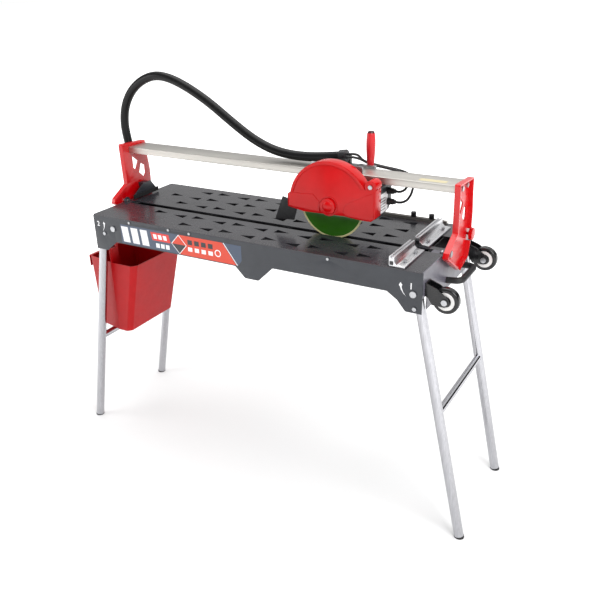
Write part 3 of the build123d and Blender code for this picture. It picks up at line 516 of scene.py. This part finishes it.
def arrow(x, z, radius, start, end, width):
    """A tapering arc with an arrow head at its end; angles in degrees."""
    steps = 9
    turn = [radians(start + (end - start) * i / steps) for i in range(steps + 1)]
    outer = [(x + (radius + width * i / steps / 2) * cos(a),
              z + (radius + width * i / steps / 2) * sin(a)) for i, a in enumerate(turn)]
    inner = [(x + (radius - width * i / steps / 2) * cos(a),
              z + (radius - width * i / steps / 2) * sin(a)) for i, a in enumerate(turn)]
    tip_angle = turn[-1] + (turn[-1] - turn[-2]) * 2
    tip = (x + radius * cos(tip_angle), z + radius * sin(tip_angle))
    wing = [(x + (radius + way * width) * cos(turn[-1]),
             z + (radius + way * width) * sin(turn[-1])) for way in (1, -1)]
    return outer[:-1] + [wing[0], tip, wing[1]] + inner[-2::-1]


flat_piece("panel_ground", [[(111, 721), (552, 721), (565, 738), (565, 783), (111, 783)]],
           ink_blue)
flat_piece("panel_field", [[(325, 752), (344, 721), (546, 721), (500, 783), (344, 783)]],
           ink_orange, 1)
flat_piece("panel_stripe", [bar(548, 721, 3, 62, -46)], ink_white, 1)
flat_piece("panel_blocks", [bar(x, 727, 27, 50, -6) for x in (120, 158, 196)]
           + [bar(x, 728, 14, 14) for x in (250, 269, 288)], ink_white, 1)
flat_piece("panel_patch", [bar(238, 750, 70, 26, -6)], ink_red, 1)
flat_piece("panel_patch_blocks", [bar(x, 756, 13, 14, -3) for x in (244, 263, 282)], ink_white, 2)
DIAMOND = (340, 752)
CORNERS = ((-1, 0), (0, -1), (1, 0), (0, 1))


def diamond(half_width, half_height, corners=CORNERS):
    """An outline through some of a diamond's corners."""
    return [(DIAMOND[0] + a * half_width, DIAMOND[1] + b * half_height) for a, b in corners]


flat_piece("panel_diamond_edge", [diamond(29, 31)], ink_white, 2)
flat_piece("panel_diamond", [diamond(26, 28)], ink_orange, 3)
flat_piece("panel_diamond_base", [diamond(26, 28, CORNERS[:3])], ink_black, 4)
flat_piece("panel_pictures", [bar(x, 757, 17, 15) for x in (373, 398, 423, 448)], ink_black, 2)
flat_piece("panel_tags", [bar(x, 736, 16, 13) for x in (373, 398, 423, 448)], ink_white, 2)
flat_piece("panel_ring", [ring(482, 747, 11), ring(482, 747, 8)], ink_white, 2)
flat_piece("left_fold_arrow", [arrow(13, 771, 30, -48, 6, 4.5)], ink_white)
flat_piece("right_fold_arrow", [arrow(1096, 762, 42, 234, 186, 5.0)], ink_white)


def band(radius, inner, start, end, steps=30):
    """A curved band round the blade's centre; angles in degrees."""
    centre_x = (BLADE.x - LEFT) / MM
    turns = [radians(start + (end - start) * i / steps) for i in range(steps + 1)]
    rim = [(centre_x + radius * cos(a), BLADE.z / MM + radius * sin(a)) for a in turns]
    back = [(centre_x + inner * cos(a), BLADE.z / MM + inner * sin(a)) for a in turns]
    return rim + back[::-1]


def guard_piece(name, outline, thick_mm=1.6, edge_mm=0.6):
    """A raised piece moulded on the guard's front face."""
    flat_piece(name, [outline], guard_red, 0, "head", "front", GUARD_FACE,
               thick_mm, edge_mm)


guard_piece("guard_rim_bead", band(125, 117, 30, 168), 2.0, 0.8)
guard_piece("guard_nose_panel", [(827, 870), (822, 883), (831, 903), (889, 934), (914, 944),
                                 (914, 873), (904, 866), (876, 867)])
guard_piece("guard_tail_panel", [(647, 877), (647, 909), (655, 916), (728, 920), (728, 917),
                                 (746, 900), (746, 871)])
guard_piece("guard_hub_ring", band(29, 25.5, 0, 359.9, 48))
flat_piece("motor_plate", [bar(198, 862, 66, 56)], ink_white, 0, "head", "right", motor_high.x)
flat_piece("motor_plate_lines", [bar(204, 870 + 8 * i, 44, 2.4) for i in range(5)], ink_black, 1,
           "head", "right", motor_high.x)
flat_piece("rail_label", [bar(1006, 222, 78, 22)], ink_cream, 0, "bridge", "top", beam_high.z)


def numeral(digit, x, z, height_mm):
    """A leg's fold number, printed on the front skirt."""
    bpy.ops.object.text_add(location=(LEFT + x * MM, FRONT - 0.1 * MM, z * MM),
                            rotation=(pi / 2, 0, 0))
    piece = bpy.context.object
    piece.data.body = digit
    piece.data.size = height_mm * MM * 1.4
    piece.data.extrude = 0.06 * MM
    piece.data.offset = 0.4 * MM
    pick(piece)
    bpy.ops.object.convert(target="MESH")
    finish_piece(bpy.context.object, f"fold_number_{digit}", "frame", ink_white)


clear_selection()
numeral("2", 13, 764, 16)
numeral("1", 1077, 751, 17)

bpy.ops.mesh.primitive_uv_sphere_add(segments=48, ring_count=24, radius=DOME_R,
                                     location=(BLADE.x, DOME_FACE, BLADE.z),
                                     scale=(1, DOME_CROWN, 1))
hub_dome = bpy.context.object
pick(hub_dome)
bpy.ops.object.transform_apply(location=True, rotation=True, scale=True)
bpy.ops.object.mode_set(mode="EDIT")
bpy.ops.mesh.select_all(action="SELECT")
bpy.ops.mesh.bisect(plane_co=(0, DOME_FACE, 0), plane_no=(0, 1, 0), clear_outer=True,
                    use_fill=True)
bpy.ops.object.mode_set(mode="OBJECT")
finish_piece(hub_dome, "guard_hub_dome", "head", guard_red, 60)
for name, x, end_face in (("front_stop_plug", 1020.5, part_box("front_fence")[0].y),
                          ("rear_stop_plug", 1023.5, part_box("rear_fence")[0].y)):
    flat_piece(name, [bar(x, 806, 10, 9.5)], ink_black, 0, "frame", "front", end_face,
               0.6)

# Stage: pale floor, white surroundings and soft lamps
bpy.ops.mesh.primitive_plane_add(size=60, location=(0, 0, 0))
floor = bpy.context.object
floor.name = "floor"
floor_look, floor_tree, floor_shader = material("pale_matte_floor", "#f2f2f2", 0.6)
gloss(floor_tree, floor_shader, grain(floor_tree, 400).outputs["Fac"], 0.5, 0.6)
floor_shader.inputs["Emission Color"].default_value = (1, 1, 1, 1)
from_saw = add(floor_tree, "VectorMath",
               {0: add(floor_tree, "TexCoord").outputs["Object"]}, operation="LENGTH")
glow = add(floor_tree, "MapRange", {"Value": from_saw.outputs["Value"], "From Min": 0.9,
                                    "From Max": 3.2, "To Min": 0.1, "To Max": 1.0})
floor_tree.links.new(glow.outputs["Result"], floor_shader.inputs["Emission Strength"])
floor_shader.inputs["Specular IOR Level"].default_value = 0.1
floor.data.materials.append(floor_look)

world = bpy.data.worlds.new("studio")
bpy.context.scene.world = world
world.use_nodes = True
sky = world.node_tree
ray = add(sky, "TexCoord").outputs["Generated"]
BRIGHT_SIDE = Vector((0.75, 0.5, 0.43))
CAMERA_RIGHT = Vector((cos(radians(CAMERA_TURN)), sin(radians(CAMERA_TURN)), 0))
toward = add(sky, "VectorMath", {0: ray, 1: BRIGHT_SIDE}, operation="DOT_PRODUCT")
shade = add(sky, "MapRange", {"Value": toward.outputs["Value"], "From Min": -0.8,
                              "From Max": 0.8, "To Min": 0.2, "To Max": 1.0})
sideways = add(sky, "VectorMath", {0: ray, 1: CAMERA_RIGHT}, operation="DOT_PRODUCT")
apart = add(sky, "Math", {0: sideways.outputs["Value"]}, operation="ABSOLUTE")
flags = add(sky, "ValToRGB", {"Fac": apart.outputs["Value"]})
for position, level in ((0.72, 1.0), (0.78, 0.03), (0.93, 0.03)):
    flags.color_ramp.elements.new(position).color = (level, level, level, 1)
flags.color_ramp.elements[0].color = (1, 1, 1, 1)
seen = add(sky, "Math", {0: shade.outputs["Result"], 1: flags.outputs["Color"]},
           operation="MULTIPLY")
looking = add(sky, "LightPath").outputs["Is Camera Ray"]
strength = add(sky, "Math", {0: seen.outputs["Value"], 1: looking}, operation="MAXIMUM")
sky.nodes["Background"].inputs["Color"].default_value = (1, 1, 1, 1)
sky.links.new(strength.outputs["Value"], sky.nodes["Background"].inputs["Strength"])


def lamp(name, place, aim, size, power):
    """A large square softbox aimed at a point."""
    data = bpy.data.lights.new(name, "AREA")
    data.size = size
    data.energy = power
    holder = bpy.data.objects.new(name, data)
    bpy.context.scene.collection.objects.link(holder)
    holder.location = place
    holder.rotation_euler = (Vector(aim) - Vector(place)).to_track_quat("-Z", "Y").to_euler()


lamp("key_softbox", (2.6, -1.4, 2.8), (0, 0, 0.7), 1.8, 70)
lamp("top_softbox", (-0.3, 0.4, 3.4), (0, 0, 0.8), 2.6, 60)
lamp("left_softbox", (-2.8, -1.8, 1.8), (0, 0, 0.7), 1.6, 30)
bpy.context.scene.view_settings.view_transform = "Standard"
